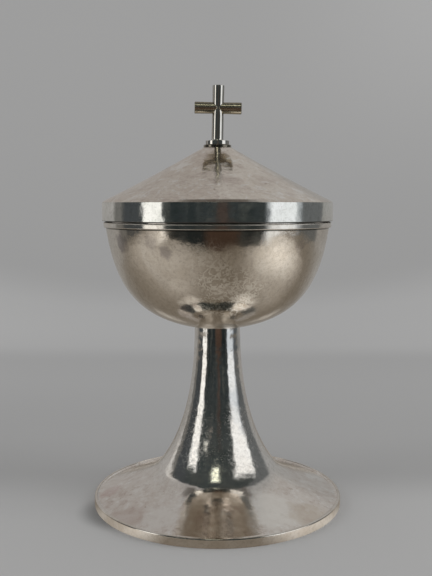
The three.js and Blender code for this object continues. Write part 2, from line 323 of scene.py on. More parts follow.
# %% Shader maths
class Wire:
    """A node's output. Sums and products with numbers or other wires add Math nodes to the same tree."""

    def __init__(self, finish, socket):
        self.finish, self.socket = finish, socket

    def __add__(self, other):
        return self.finish.maths("ADD", self, other)

    def __radd__(self, other):
        return self.finish.maths("ADD", other, self)

    def __sub__(self, other):
        return self.finish.maths("SUBTRACT", self, other)

    def __rsub__(self, other):
        return self.finish.maths("SUBTRACT", other, self)

    def __mul__(self, other):
        return self.finish.maths("MULTIPLY", self, other)

    def __rmul__(self, other):
        return self.finish.maths("MULTIPLY", other, self)

    def smooth(self, low, high):
        """0 below low, 1 above high, and a smooth step between."""
        return self.finish.node("ShaderNodeMapRange", {"interpolation_type": "SMOOTHSTEP"},
                                {"Value": self, "From Min": low, "From Max": high})

    def between(self, low, high, soft):
        """1 between low and high and 0 outside, with a smooth step of width 2 x soft at each end."""
        return self.smooth(low - soft, low + soft) * (1 - self.smooth(high - soft, high + soft))


class Finish:
    """A node tree that is filled by recipes: a material's or the world's."""

    def __init__(self, tree):
        self.tree = tree
        tree.nodes.clear()

    def node(self, kind, settings=None, inputs=None, output=0):
        """Adds a node. Its settings are set first, then each input gets a number, a colour or a wire."""
        made = self.tree.nodes.new(kind)
        for key, value in (settings or {}).items():
            setattr(made, key, value)
        for key, value in (inputs or {}).items():
            if isinstance(value, Wire):
                self.tree.links.new(value.socket, made.inputs[key])
            else:
                made.inputs[key].default_value = value
        return Wire(self, made.outputs[output]) if made.outputs else None

    def maths(self, operation, *values):
        return self.node("ShaderNodeMath", {"operation": operation}, dict(enumerate(values)))

    def axis(self, where, name):
        """The X, Y or Z of a place."""
        return self.node("ShaderNodeSeparateXYZ", {}, {"Vector": where}, output=name)

    def distance(self, where, place):
        return self.node("ShaderNodeVectorMath", {"operation": "DISTANCE"}, {0: where, 1: place}, output="Value")

    def noise(self, where, size, detail=2.0, roughness=0.5, distortion=0.0):
        """Soft clouds about size millimetres across, from 0 to 1."""
        return self.node("ShaderNodeTexNoise", {}, {"Vector": where, "Scale": 1 / (size * MM), "Detail": detail,
                                                    "Roughness": roughness, "Distortion": distortion})

    def mix(self, share, first, second):
        """The first colour where share is 0 and the second where it is 1."""
        first, second = [c if isinstance(c, Wire) else (*c, 1) for c in (first, second)]
        return self.node("ShaderNodeMix", {"data_type": "RGBA"}, {0: share, 6: first, 7: second}, output=2)

    def tint(self, share, colour):
        """Lays a colour over the finish's own where share is 1."""
        self.colour = self.mix(share, self.colour, colour)

    def spot(self, place, reach):
        """1 at a place in millimetres, fading to 0 at reach millimetres from it. The place that is measured is
        first shifted by a noise, so that the outline wanders."""
        wander = self.node("ShaderNodeTexNoise", {}, {"Vector": self.where, "Scale": 2.2 / (reach * MM),
                                                      "Detail": 3.0}, output="Color")
        shifted = self.node("ShaderNodeVectorMath", {"operation": "MULTIPLY_ADD"},
                            {0: wander, 1: (reach * MM,) * 3, 2: self.where})
        away = self.distance(shifted, [c * MM + reach * MM / 2 for c in place])
        return away.smooth(reach * MM, reach * MM * 0.45)


def new_material(name):
    """A material with an empty node tree, and the finish that fills the tree."""
    material = bpy.data.materials.new(name)
    material.use_nodes = True
    return material, Finish(material.node_tree)


print("maths on wires: + - and *")

# %% [markdown]
# ## Silver
# Old silver is a mirror under a thin brown film. Where hands and cloths have rubbed it is bright and smooth, and in
# between it is warmer and a little duller. A single colour would look like chrome, so each silver finish here starts
# from the same recipe: two tints blended by soft clouds, a roughness that follows them, fine scratches in two
# directions and a grain of hardly visible dents.

# %% Silver recipe
TARNISH = (0.46, 0.38, 0.32)
# A near-black colour that is painted shade, laid into the seams and gaps where shade falls
PAINTED_SHADE = (0.03, 0.027, 0.02)
SPECK_SIZE = 1.9  # mm
# Two directions of scratches: a turn, a stretch, the size before the stretch, and the step that leaves thin lines
SCRATCHES = (((0.5, 0.3, 0.2), (1, 14, 14), 26, 0.57, 0.75), ((0.2, 0.9, 1.1), (16, 1, 16), 24, 0.58, 0.76))


def silver_finish(name, bright, warm, smooth, dull, cloud=22, specks=0.3, stains=0.3, grain=0.012, grain_size=1.3,
                  scratches=0.5, edge=1.0, extra=None):
    """Material with the patina recipe. Bright and smooth are the colour and roughness of rubbed silver, warm and
    dull those under the film. Extra is a recipe that may change the colour or the roughness before use."""
    material, finish = new_material(name)
    finish.where = finish.node("ShaderNodeTexCoord", output="Object")
    finish.film = finish.noise(finish.where, cloud, 4, 0.6, 0.6).smooth(0.32, 0.72)
    lines = []
    for turned, stretch, size, low, high in SCRATCHES:
        along = finish.node("ShaderNodeMapping", {}, {"Vector": finish.where, "Rotation": turned, "Scale": stretch})
        lines.append(finish.noise(along, size, 3, 0.7).smooth(low, high))
    lines = (lines[0] + lines[1]) * scratches
    fine = finish.noise(finish.where, grain_size, 3, 0.6)
    speckle = finish.noise(finish.where, SPECK_SIZE, 4, 0.75).smooth(0.42, 0.7)
    stain = finish.noise(finish.where, cloud * 0.4, 6, 0.75, 1.4).smooth(0.56, 0.7)
    finish.roughness = (smooth + finish.film * (dull - smooth) + lines * 0.05 + stain * (stains * 0.25)
                        + speckle * 0.03)
    finish.colour = finish.mix(finish.film, bright, warm)
    finish.tint(speckle * specks, [0.55 * c for c in warm])
    finish.tint(stain * stains, TARNISH)
    if extra:
        extra(finish)
    normal = finish.node("ShaderNodeBump", {}, {"Strength": 1.0, "Distance": grain * MM,
                                                "Height": fine + speckle * 0.3 + lines * 0.15}, output="Normal")
    surface = finish.node("ShaderNodeBsdfPrincipled", {}, {
        "Base Color": finish.colour, "Metallic": 1.0, "Roughness": finish.roughness, "Normal": normal,
        "Specular Tint": (edge, edge, edge, 1)})
    finish.node("ShaderNodeOutputMaterial", {}, {"Surface": surface})
    print("finish:", name)
    return material


# %% [markdown]
# ## What each piece adds to the recipe
# The foot and the cone are blotched, the bowl has a few dark stains and two patches of fine curling scratches,
# painted shade darkens the seams, and the sides that no cloth reaches are duller and browner. These marks could be
# painted by hand on an image, but a small recipe for each piece stays sharp at any distance and can be changed with
# one number.

# %% Blotches and inner sides
BARE_SILVER = (1.0, 0.99, 0.97)
THICK_FILM = (0.66, 0.57, 0.52)
INSIDE_FILM = (0.55, 0.49, 0.42)


def tone_inside(finish):
    """The side that no cloth reaches is duller and browner: its share comes from the mesh's inside attribute."""
    inside = finish.node("ShaderNodeAttribute", {"attribute_name": "inside"}, output="Fac")
    finish.tint(inside * 0.6, INSIDE_FILM)
    finish.roughness += inside * 0.22


def add_blotches(finish, share, size):
    """Patches of thicker and thinner film about size millimetres across, with dark pits in the thicker ones."""
    blotches = finish.noise(finish.where, size, 7, 0.72, 0.35)
    thick = share * blotches.smooth(0.5, 0.68)
    thin = share * (1 - blotches.smooth(0.34, 0.46))
    pits = finish.noise(finish.where, 3.2, 4, 0.7, 0.5).smooth(0.61, 0.7) * blotches.smooth(0.44, 0.6)
    finish.tint(thick * 0.65, THICK_FILM)
    finish.tint(thin * 0.75, BARE_SILVER)
    finish.tint(share * pits * 0.85, TARNISH)
    finish.roughness += thick * 0.05


def cone_tones(finish):
    """The cone is blotched all over, in large patches and small ones."""
    add_blotches(finish, 1.1, 12)
    add_blotches(finish, 0.85, 4.5)
    tone_inside(finish)


print("blotches: film", THICK_FILM, "over silver", BARE_SILVER)

# %% Foot and stem recipe
FOOT_FILM = (0.88, 0.81, 0.76)
# Place and reach in millimetres, strength, colour. The first five lie on the foot, the last two on the stem.
STEM_PATCHES = (
    ((29, -42, 10), 18, 0.8, (1.0, 0.98, 0.94)), ((-27, -46, 9), 14, 0.6, (0.98, 0.97, 0.95)),
    ((-45, -42, 6), 13, 0.6, (0.68, 0.58, 0.53)), ((-57, -8, 6), 8, 0.4, (0.7, 0.52, 0.5)),
    ((47, -40, 6), 15, 0.55, (0.72, 0.63, 0.53)), ((8, -9, 89), 11, 0.75, (0.56, 0.58, 0.6)),
    ((9.5, -9, 57), 8, 0.55, (0.6, 0.62, 0.64)))


def stem_tones(finish):
    """The neck is the most polished part. The flare under it is dusted with dull specks, and the foot is blotched,
    up to a height of 11 to 26 mm that wanders."""
    height = finish.axis(finish.where, "Z")
    wander = finish.noise(finish.where, 9, 3) * 0.006
    foot = 1 - (height + wander).smooth(0.011, 0.026)
    finish.roughness += foot * 0.01
    finish.tint(foot * 0.6, FOOT_FILM)
    add_blotches(finish, foot * 1.25, 12)
    add_blotches(finish, foot * 1.15, 4.5)
    for place, reach, strength, colour in STEM_PATCHES:
        finish.tint(finish.spot(place, reach) * strength, colour)
    dust = finish.noise(finish.where, 1.3, 4, 0.8).smooth(0.46, 0.62) * height.between(0.02, 0.058, 0.01)
    finish.roughness += dust * 0.2
    tone_inside(finish)


print("stem:", len(STEM_PATCHES), "patches")

# %% Bowl, band and rim recipes
BOWL_FILM, BOWL_STAIN = (0.6, 0.55, 0.47), (0.32, 0.29, 0.31)
WORN_FILM, DULL_FILM, SCRATCHED = (0.5, 0.43, 0.35), (0.42, 0.36, 0.29), (1.0, 0.97, 0.9)
BOWL_STAINS = (((-24.2, -50.8, 136.2), 4.2, 0.6), ((-46.7, -32.7, 140.2), 6.5, 0.7),
               ((-30.5, -47.0, 141.0), 4.5, 0.3), ((39.0, -40.6, 139.0), 4, 0.35))


def bowl_tones(finish):
    """Dark stains in four known places high on the bowl, painted shade close under the wire of the rim, and in front
    two patches of fine curling lines where the film has been scratched through: a line runs wherever a soft noise is
    close to one half."""
    for place, reach, strength in BOWL_STAINS:
        blot = finish.spot(place, reach)
        finish.tint(blot * strength, BOWL_STAIN)
        finish.roughness += blot * 0.03
    off_half = finish.maths("ABSOLUTE", finish.noise(finish.where, 2.1, 0, 0.5, 0.9) - 0.5)
    worn = finish.spot((6, -47, 116), 21)
    scratched = (worn + finish.spot((-4, -54, 132), 15) * 0.8) * finish.noise(finish.where, 6, 2).smooth(0.38, 0.46)
    curls = (1 - off_half.smooth(0.05, 0.12)) * scratched * 0.85
    finish.tint(worn * 0.3, WORN_FILM)
    finish.tint(finish.spot((1, -38, 106), 14) * 0.5, DULL_FILM)
    finish.tint(finish.film * 0.25 + 0.12, BOWL_FILM)
    # Painted shade: the bowl just under the wire of the rim is darkened, where the wire shades it
    finish.tint(finish.axis(finish.where, "Z").smooth(0.1461, 0.1465) * 0.85, PAINTED_SHADE)
    finish.tint(curls, SCRATCHED)
    finish.roughness += curls * 0.1
    tone_inside(finish)


def band_painted_shade(finish):
    """Painted shade darkens and dulls the band's lower edge, over the gap to the cup's rim."""
    # Painted shade along the band's lowest edge
    low = 1 - finish.axis(finish.where, "Z").smooth(0.1503, 0.15055)
    finish.tint(low * 0.9, PAINTED_SHADE)
    finish.roughness += low * 0.3


def rim_painted_shade_and_scuffs(finish):
    """Painted shade darkens the top, where the lid rests on the cup's wire. Both edges of the wire are scuffed."""
    height = finish.axis(finish.where, "Z")
    # Painted shade over the wire's top and all that lies higher, such as the lid's seat ring
    top_painted_shade = height.smooth(0.1495, 0.14965) * 0.95
    scuffed = height.between(0.149, 0.1495, 0.0001) * 0.4 + (1 - height.smooth(0.1472, 0.1474)) * 0.25
    finish.tint(top_painted_shade, PAINTED_SHADE)
    finish.roughness = finish.roughness + top_painted_shade * 0.3 + scuffed


print("bowl:", len(BOWL_STAINS), "stains")

# %% [markdown]
# ## The finishes
# One recipe with different numbers gives every finish: the bowl is warmer and more scratched than the foot, the band
# and the wires are brighter, and the arms of the cross are yellower and duller than its upright. The two colours are
# the rubbed and the filmed one, and the two numbers after them are their roughness.

# %% Finishes
stem_silver = silver_finish("stem_silver", (0.94, 0.93, 0.91), (0.87, 0.84, 0.8), 0.05, 0.09, specks=0.35,
                            stains=0.22, grain=0.016, grain_size=1.5, extra=stem_tones)
bowl_silver = silver_finish("bowl_silver", (0.93, 0.89, 0.83), (0.84, 0.78, 0.7), 0.08, 0.13, specks=0.45,
                            stains=0.35, grain=0.017, scratches=1.0, extra=bowl_tones)
band_silver = silver_finish("band_silver", (0.95, 0.95, 0.93), (0.84, 0.85, 0.81), 0.05, 0.1, cloud=12,
                            specks=0.35, stains=0.3, grain=0.014, extra=band_painted_shade)
cone_silver = silver_finish("cone_silver", (0.91, 0.85, 0.78), (0.83, 0.75, 0.67), 0.06, 0.11, cloud=30,
                            specks=0.3, stains=0.3, grain=0.02, scratches=0.8, extra=cone_tones)
wire_silver = silver_finish("wire_silver", (0.93, 0.9, 0.86), (0.78, 0.72, 0.65), 0.04, 0.08, cloud=18)
rim_silver = silver_finish("rim_silver", (0.93, 0.91, 0.87), (0.8, 0.75, 0.68), 0.07, 0.13, cloud=18,
                           extra=rim_painted_shade_and_scuffs)
cross_silver = silver_finish("cross_silver", (0.95, 0.93, 0.89), (0.84, 0.8, 0.73), 0.06, 0.1, cloud=9,
                             specks=0.15, stains=0.1, grain=0.004, edge=0.05)
arm_silver = silver_finish("arm_silver", (0.86, 0.81, 0.68), (0.66, 0.6, 0.45), 0.17, 0.26, cloud=3,
                           specks=0.3, grain=0.008, edge=0.1)
dark_silver = silver_finish("dark_silver", (0.34, 0.32, 0.27), (0.2, 0.18, 0.15), 0.12, 0.2, cloud=6, specks=0.15)
steel = silver_finish("steel", (0.62, 0.62, 0.61), (0.5, 0.49, 0.47), 0.3, 0.42, cloud=6)

# %% [markdown]
# ## The foot
# The foot is a trumpet of sheet on a ring of heavy wire. The wire carries the weight and keeps the thin edge round.
# The sheet rises at about 18 degrees from its edge, which lies a little below the wire's top, and a small fillet of
# solder fills the corner there. A lathe curve would give the trumpet a dead, even surface. Here the hammer's relief
# is added over the outside, with wide marks on the foot and narrow ones round the neck, and it fades out where the
# sheet meets the rim and the bowl.

# %% Foot and stem
STEM_COLUMNS = 360
WIRE_COLUMNS = 480
SHEET_EDGE, UNDERSIDE = FOOT_EDGE + 0.25, FOOT_EDGE_HEIGHT - SHEET
NECK_BEND, FOOT_BEND = 0.0055, 0.0022
fillet = softened([(SHEET_EDGE, 3.2), (SHEET_EDGE, 4.5), (64.1, 4.22), (63.76, FOOT_EDGE_HEIGHT)],
                  [0, 0.06, 0.1, 0], closed=False)[:-1]
stem_inside = stem_curve[::4] - SHEET * outward(stem_curve)[::4]
stem_profile = np.concatenate([fillet, stem_curve, stem_inside[::-1],
                               [(FOOT_EDGE - LEVEL_FOOT, UNDERSIDE), (SHEET_EDGE, UNDERSIDE)]])
stem_rows = slice(len(fillet), len(fillet) + len(stem_curve))
stem_bend = np.interp(stem_curve[:, 0], [NECK_RADIUS, 40], [NECK_BEND, FOOT_BEND])
stem_points = hammered(stem_profile, STEM_COLUMNS, stem_rows, (4, 1.5), spacing=4.4, bend=stem_bend, seed=4,
                       sharpness=500)
make_piece("stem_foot", stem_points, True, stem_silver, "vessel", stem_rows.stop)

rim_profile = softened([(FOOT_RADIUS, 0), (FOOT_RADIUS, FOOT_RIM_HEIGHT), (RIM_STEP, FOOT_RIM_HEIGHT),
                        (RIM_STEP, UNDERSIDE), (RIM_BORE, UNDERSIDE), (RIM_BORE, 0)],
                       [0.4, 0.85, 0.1, 0.05, 0.1, 0.2])
make_piece("foot_rim", turn(rim_profile, WIRE_COLUMNS), True, wire_silver, "vessel")

# %% [markdown]
# ## The bowl
# The bowl was raised from one disc. Its wall is a single smooth curve from the flat seat to the mouth, and a second
# line, one sheet inside the first, is its inner face. A Solidify modifier could do that too, but this way the inner
# face stays smooth where the outer one is hammered. A flat wire is soldered round the mouth.

# %% Bowl and rim wire
BOWL_COLUMNS = 448
bowl_seat = np.array([(3, STEM_TOP), (8, STEM_TOP), (11, STEM_TOP)])
bowl_inside = bowl_curve[::3] - SHEET * outward(bowl_curve)[::3]
bowl_inside = bowl_inside[bowl_inside[:, 1] < BOWL_TOP - 0.1]
bowl_lip = np.array([(WIRE_BORE, BOWL_TOP)])
bowl_floor = np.array([(8, STEM_TOP + SHEET), (3, STEM_TOP + SHEET)])
bowl_profile = np.concatenate([bowl_seat, bowl_curve, bowl_lip, bowl_inside[::-1], bowl_floor])
bowl_rows = slice(len(bowl_seat), len(bowl_seat) + len(bowl_curve))
bowl_points = hammered(bowl_profile, BOWL_COLUMNS, bowl_rows, (5, 2), spacing=6.0, bend=0.002, seed=11)
make_piece("bowl", bowl_points, False, bowl_silver, "vessel", bowl_rows.stop + 1)

wire_profile = softened([(WIRE_RADIUS, BOWL_TOP), (WIRE_RADIUS, WIRE_TOP), (WIRE_BORE, WIRE_TOP),
                         (WIRE_BORE, BOWL_TOP)], [0.4, 0.5, 0.2, 0.1])
make_piece("bowl_rim_ring", turn(wire_profile, WIRE_COLUMNS), True, rim_silver, "vessel")

# %% [markdown]
# ## The lid
# The lid is a cone of sheet on an upright band. Below the band's edge a flat ring rests on the cup's rim, and a
# bezel drops into its mouth, so the lid can't slide. All four are rings, and could be cut from one solid, but on the
# real lid they are separate pieces with a seam between them, and the seams catch the light.

# %% Lid
BAND_COLUMNS, CONE_COLUMNS, RING_COLUMNS = 480, 448, 360
band_profile = softened([(LID_RADIUS, BAND_FOOT), (LID_RADIUS, BAND_TOP), (BAND_BORE, BAND_TOP),
                         (BAND_BORE, BAND_FOOT)], [0.25, 0.1, 0.1, 0.2], run=14)
band_rows = slice(0, 26)  # the outer wall and its two soft corners
band_points = hammered(band_profile, BAND_COLUMNS, band_rows, (0.8, 0.8), spacing=4.4, bend=0.0045, seed=21,
                       sharpness=700)
make_piece("lid_band", band_points, True, band_silver, "lid")

CONE_START = 4  # the first points of the cone's curve make way for its edge
cone_wall = cone_curve[CONE_START:]
cone_edge = softened([(LID_RADIUS - 0.9, BAND_TOP + 0.01), (LID_RADIUS, BAND_TOP + 0.01), tuple(cone_wall[0])],
                     [0, 0.1, 0], closed=False)[:-1]
cone_inside = cone_curve[::4] - SHEET * outward(cone_curve)[::4]
cone_inside = cone_inside[cone_inside[:, 1] > BAND_TOP + 0.05]
cone_top = np.array([(5, LID_FLAT_HEIGHT), (SHANK_HOLE, LID_FLAT_HEIGHT), (SHANK_HOLE, LID_FLAT_HEIGHT - SHEET),
                     (5, LID_FLAT_HEIGHT - SHEET)])
cone_profile = np.concatenate([cone_edge, cone_wall, cone_top, cone_inside[::-1]])
cone_rows = slice(len(cone_edge), len(cone_edge) + len(cone_wall))
cone_points = hammered(cone_profile, CONE_COLUMNS, cone_rows, (3, 3), spacing=4.6, bend=0.0036, seed=31,
                       sharpness=700)
make_piece("lid_cone", cone_points, True, cone_silver, "lid", cone_rows.stop + 2)

bezel_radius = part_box("lid_bezel")[1].x / MM
bezel_profile = softened([(bezel_radius, BEZEL_FOOT), (bezel_radius, SEAT_FOOT), (bezel_radius - SHEET, SEAT_FOOT),
                          (bezel_radius - SHEET, BEZEL_FOOT)], [0.3, 0.05, 0.05, 0.3])
make_piece("lid_bezel", turn(bezel_profile, RING_COLUMNS), True, wire_silver, "lid_ring")
# The seat ring takes the rim's finish, so all of it is painted dark as shade under the band
seat_profile = softened([(SEAT_RADIUS, SEAT_FOOT), (SEAT_RADIUS, SEAT_TOP), (bezel_radius - SHEET, SEAT_TOP),
                         (bezel_radius - SHEET, SEAT_FOOT)], 0.15)
make_piece("lid_seat_ring", turn(seat_profile, RING_COLUMNS), True, rim_silver, "lid_ring")

# %% [markdown]
# ## The finial
# A turned collar on a flat washer with a bevelled edge closes the point of the lid. The washer is darker than the
# rest. The collar's shank goes down through the lid and has a thread for the nut inside. A thread could be swept
# along a helix, but a rod whose radius falls and rises with height and angle is the same shape, and stays one grid.

# %% Finial
SMALL_COLUMNS = 120
ROWS_PER_MM = 12
THREAD_RUN_OUT = 6  # rows

washer_profile = softened([(WASHER_RADIUS, LID_FLAT_HEIGHT), (WASHER_RADIUS, COLLAR_FOOT - WASHER_BEVEL),
                           (WASHER_RADIUS - WASHER_BEVEL, COLLAR_FOOT), (SHANK_HOLE, COLLAR_FOOT),
                           (SHANK_HOLE, LID_FLAT_HEIGHT)], [0.1, 0.15, 0.15, 0.1, 0.1])
make_piece("finial_washer", turn(washer_profile, SMALL_COLUMNS), True, dark_silver, "lid")


def rod_rows(radius, low, high):
    """Profile rows of a rod, close enough together for a thread."""
    count = int((high - low) * ROWS_PER_MM)
    return np.stack([np.full(count, radius), np.linspace(low, high, count)], axis=1)


def threaded(profile, rows, pitch, depth):
    """Turned surface with a thread on a slice of its rows: the radius falls by depth times a triangle wave of
    (height over pitch minus angle over a full turn), less and less towards the thread's two ends."""
    turns = profile[rows, 1:] / pitch - np.arange(SMALL_COLUMNS) / SMALL_COLUMNS
    wave = np.abs(2 * (turns - np.floor(turns)) - 1)
    row = np.arange(len(turns))
    ends = np.clip(np.minimum(row, row[::-1]) / THREAD_RUN_OUT, 0, 1)[:, None]
    relief = np.zeros((len(profile), SMALL_COLUMNS))
    relief[rows] = -depth * wave * ends
    return turn(profile, SMALL_COLUMNS, relief)


shank = rod_rows(SHANK_RADIUS, SHANK_FOOT, LID_FLAT_HEIGHT)
collar_profile = np.concatenate([
    [(0.6, SHANK_FOOT), (1.4, SHANK_FOOT)], shank, [(SHANK_RADIUS, COLLAR_FOOT)],
    softened([(SHANK_RADIUS, COLLAR_FOOT), (COLLAR_RADIUS, COLLAR_FOOT), (COLLAR_RADIUS, COLLAR_TOP),
              (0.8, COLLAR_TOP)], [0, 0.1, 0.22, 0], closed=False, run=5)[1:]])
collar_points = threaded(collar_profile, slice(2, 2 + len(shank)), pitch=0.7, depth=0.3)
make_piece("finial_collar", collar_points, False, cross_silver, "lid")

# %% [markdown]
# ## The cross
# The cross is soldered on the collar and leans a little to the right. Its four arms look like rods of one thickness
# that meet at the middle, where their joints draw an X. A Boolean union would give that X but also a ragged mesh, so
# each arm is a rod whose inner end is cut to the upright by a formula.

# %% Cross
CROSS_COLUMNS = 96
WAIST, WAIST_REACH = 0.22, 2.2
END_ROUNDING, SEAM_DEPTH = 0.3, 0.12


def leaned(points):
    """Points of the cross, given from its foot: turned about +Y by the lean and lifted onto the collar."""
    x, y, z = points[..., 0], points[..., 1], points[..., 2]
    return np.stack([x * math.cos(CROSS_LEAN) + z * math.sin(CROSS_LEAN), y,
                     z * math.cos(CROSS_LEAN) - x * math.sin(CROSS_LEAN) + CROSS_FOOT], axis=-1)


def upright_radius(height):
    """Radius of the upright: it widens from the crossing to both ends, and has a slight waist at the crossing, as
    deep as e to the power of minus the square of distance over reach."""
    run = np.where(height < CROSSING_HEIGHT, CROSSING_HEIGHT, UPRIGHT_HEIGHT - CROSSING_HEIGHT)
    away = np.abs(height - CROSSING_HEIGHT)
    return ROD_RADIUS + ROD_FLARE * away / run - WAIST * np.exp(-((away / WAIST_REACH) ** 2))


def arm_points(side, rows=50):
    """Points of one arm. Round the arm, y = r cos a and z = r sin a, and along it x runs from the upright's surface,
    the square root of R squared minus y squared, to the arm's end. r grows a little towards the end, which is
    rounded off by a quarter of an ellipse, and is a hair less in the soldered seam at the upright."""
    a = 2 * np.pi * np.arange(CROSS_COLUMNS) / CROSS_COLUMNS
    t = np.linspace(0, 1, rows)[:, None]
    rounding = END_ROUNDING * (1 - np.sqrt(1 - np.clip((t - 0.975) / 0.025, 0, 1) ** 2))
    seam = SEAM_DEPTH * np.clip(1 - t / 0.04, 0, 1) ** 2
    radius = ROD_RADIUS + ROD_FLARE * t + 0 * a - rounding - seam
    y, z = radius * np.cos(a), radius * np.sin(a)
    meet = np.sqrt(np.clip((ROD_RADIUS + 0.05) ** 2 - (ROD_RADIUS * np.cos(a)) ** 2, 0, None))
    points = np.stack([meet * (1 - t) + ARM_REACH * t, y, z], axis=-1)
    if side < 0:  # a mirrored grid is inside out, so its rows run the other way
        points = (points * (-1, 1, 1))[::-1]
    return points + (0, 0, CROSSING_HEIGHT)


rod_heights = np.linspace(0.6, UPRIGHT_HEIGHT - 0.5, 60)
rod_end = upright_radius(np.array(UPRIGHT_HEIGHT))
rod_top = softened([(rod_end, UPRIGHT_HEIGHT - 0.45), (rod_end, UPRIGHT_HEIGHT), (0.8, UPRIGHT_HEIGHT)], 0.3,
                   closed=False)
solder = [(1, -0.3), (3.4, -0.3), (3.2, 0.0), (3.05, 0.25)]
upright_profile = np.concatenate([
    solder, np.stack([upright_radius(rod_heights), rod_heights], axis=1), rod_top])
upright_points = leaned(turn(upright_profile, CROSS_COLUMNS))
make_piece("cross_upright", upright_points, False, cross_silver, "lid")
for side, name in ((-1, "cross_arm_left"), (1, "cross_arm_right")):
    make_piece(name, leaned(arm_points(side)), False, arm_silver, "lid")

# %% [markdown]
# ## What holds it together
# Under the foot and inside the lid there are nuts, washers and a stud. They show when the lid is off or the cup lies
# on its side. A nut is not turned, but it can still be a grid: at each angle the hexagon says how far out the wall
# is, and the two chamfers cut that wall off above and below.

# %% Nuts, washers and stud
CHAMFER = math.radians(30)
NUT_FACE = 0.475  # radius of the round face, as a share of the flats
BORE_LAND, BORE_STEP = 0.25, 0.2


def nut_points(flats, low, high, bore):
    """Grid of a chamfered nut. The wall's radius is half the flats over the cosine of the angle from the middle of
    a flat. The chamfers rise by the tangent of 30 degrees times how far a corner stands out past the round face."""
    a = 2 * np.pi * np.arange(SMALL_COLUMNS) / SMALL_COLUMNS
    wall = flats / 2 / np.cos((a % (np.pi / 3)) - np.pi / 6)
    face = flats * NUT_FACE
    drop = (wall - face) * math.tan(CHAMFER)
    rows = [(bore, low), (bore + BORE_LAND, low), (face, low), (wall, low + drop), (wall, (low + high) / 2),
            (wall, high - drop), (face, high), (bore + BORE_LAND, high), (bore, high - BORE_STEP),
            (bore, low + BORE_STEP)]
    radius, height = [np.array([row[i] + 0 * a for row in rows]) for i in (0, 1)]
    return np.stack([radius * np.cos(a), radius * np.sin(a), height], axis=-1)


def ring_points(inner, outer, low, high, cut=0.12):
    """Turned ring with a rectangular section and soft corners."""
    return turn(softened([(outer, low), (outer, high), (inner, high), (inner, low)], cut), SMALL_COLUMNS)


make_piece("stem_top_plate", ring_points(7.3, 10.8, 92.5, 94.48), True, bowl_silver, "vessel")
make_piece("bowl_boss", ring_points(STUD_HOLE, 7.0, 92.8, 94.48), True, bowl_silver, "vessel")
make_piece("clamp_washer", ring_points(STUD_HOLE, 9.6, 91.0, 92.5, 0.15), True, steel, "vessel")
make_piece("clamp_nut", nut_points(10, 86.0, 91.0, STUD_HOLE), True, steel, "vessel")
make_piece("finial_inner_washer", ring_points(SHANK_HOLE, 5.5, 186.0, 187.0), True, steel, "lid")
make_piece("finial_nut", nut_points(7, 182.8, 186.0, SHANK_HOLE), True, steel, "lid")

stud_profile = np.concatenate([[(1.0, STUD_FOOT), (2.2, STUD_FOOT)], rod_rows(STUD_RADIUS, STUD_FOOT, STUD_TOP),
                               [(2.2, STUD_TOP), (1.0, STUD_TOP)]])
stud_points = threaded(stud_profile, slice(2, -2), pitch=1.0, depth=0.45)
make_piece("tie_stud", stud_points, False, steel, "vessel")

# %% [markdown]
# ## The floor
# The photograph shows a plain grey sweep, and the silver shows the rest of the room. A real room could be built, but
# its walls would show in the other views. So the floor that the camera sees is a dish of grey paper with painted
# light
# and shade: lighter in front, on the fold and up the wall, darker just behind and close beside the foot, and the
# silver doesn't see it.


# %% Floor
def stage_grid(name, points, material, closed_round):
    """A stage surface from a grid of points in metres."""
    rows, columns = points.shape[:2]
    number = np.arange(rows * columns).reshape(rows, columns)
    if closed_round:
        beside = np.roll(number, -1, axis=1)
    else:
        beside, number = number[:, 1:], number[:, :-1]
    quads = np.stack([number[:-1], beside[:-1], beside[1:], number[1:]], axis=-1).reshape(-1, 4)
    mesh = bpy.data.meshes.new(name)
    mesh.from_pydata(points.reshape(-1, 3).tolist(), [], quads.tolist())
    mesh.shade_smooth()
    mesh.materials.append(material)
    thing = bpy.data.objects.new(name, mesh)
    bpy.context.scene.collection.objects.link(thing)
    return thing


FLOOR_EDGE, SWEEP_RADIUS, WALL_TOP, FLOOR_DROP = 0.5, 0.5, 1.8, 1e-5
bend = np.linspace(0, np.pi / 2, 24)
sweep_radius = np.concatenate([[1e-4, 0.1, 0.3], FLOOR_EDGE + SWEEP_RADIUS * np.sin(bend),
                               [FLOOR_EDGE + SWEEP_RADIUS]])[:, None]
sweep_height = np.concatenate([[0, 0, 0], SWEEP_RADIUS * (1 - np.cos(bend)), [WALL_TOP]])[:, None]
around = 2 * np.pi * np.arange(96) / 96
sweep_points = np.stack([sweep_radius * np.cos(around), sweep_radius * np.sin(around),
                         sweep_height - FLOOR_DROP + 0 * around], axis=-1)

paper, paper_finish = new_material("grey_paper_painted_light")
paper_place = paper_finish.node("ShaderNodeTexCoord", output="Object")
paper_x, paper_y, paper_z = [paper_finish.axis(paper_place, name) for name in "XYZ"]
# Painted light and shade on the paper: lighter in front and on the fold, a shaded band just behind the foot
front = 1 - paper_y.smooth(-0.01, 0.045)
painted_shade_band = paper_y.between(0.02, 0.09, 0.03)
painted_fold_light = paper_y.between(0.43, 0.67, 0.05) * (1 - paper_z.smooth(0.1, 0.2))
# More painted light: the far floor lighter on the left, and the wall lighter higher up and to the right
painted_light_rise = paper_y.between(0.22, 0.6, 0.08) * (0.02 + (1 - paper_x.smooth(-0.4, 0.1)) * 0.035)
upper = paper_z.smooth(0.1, 0.55) * (0.02 + paper_x.smooth(0.0, 0.5) * 0.12)
paper_tone_with_painted_light = 0.58 + front * 0.095 - painted_shade_band * 0.015 + painted_light_rise + painted_fold_light * 0.085 + upper
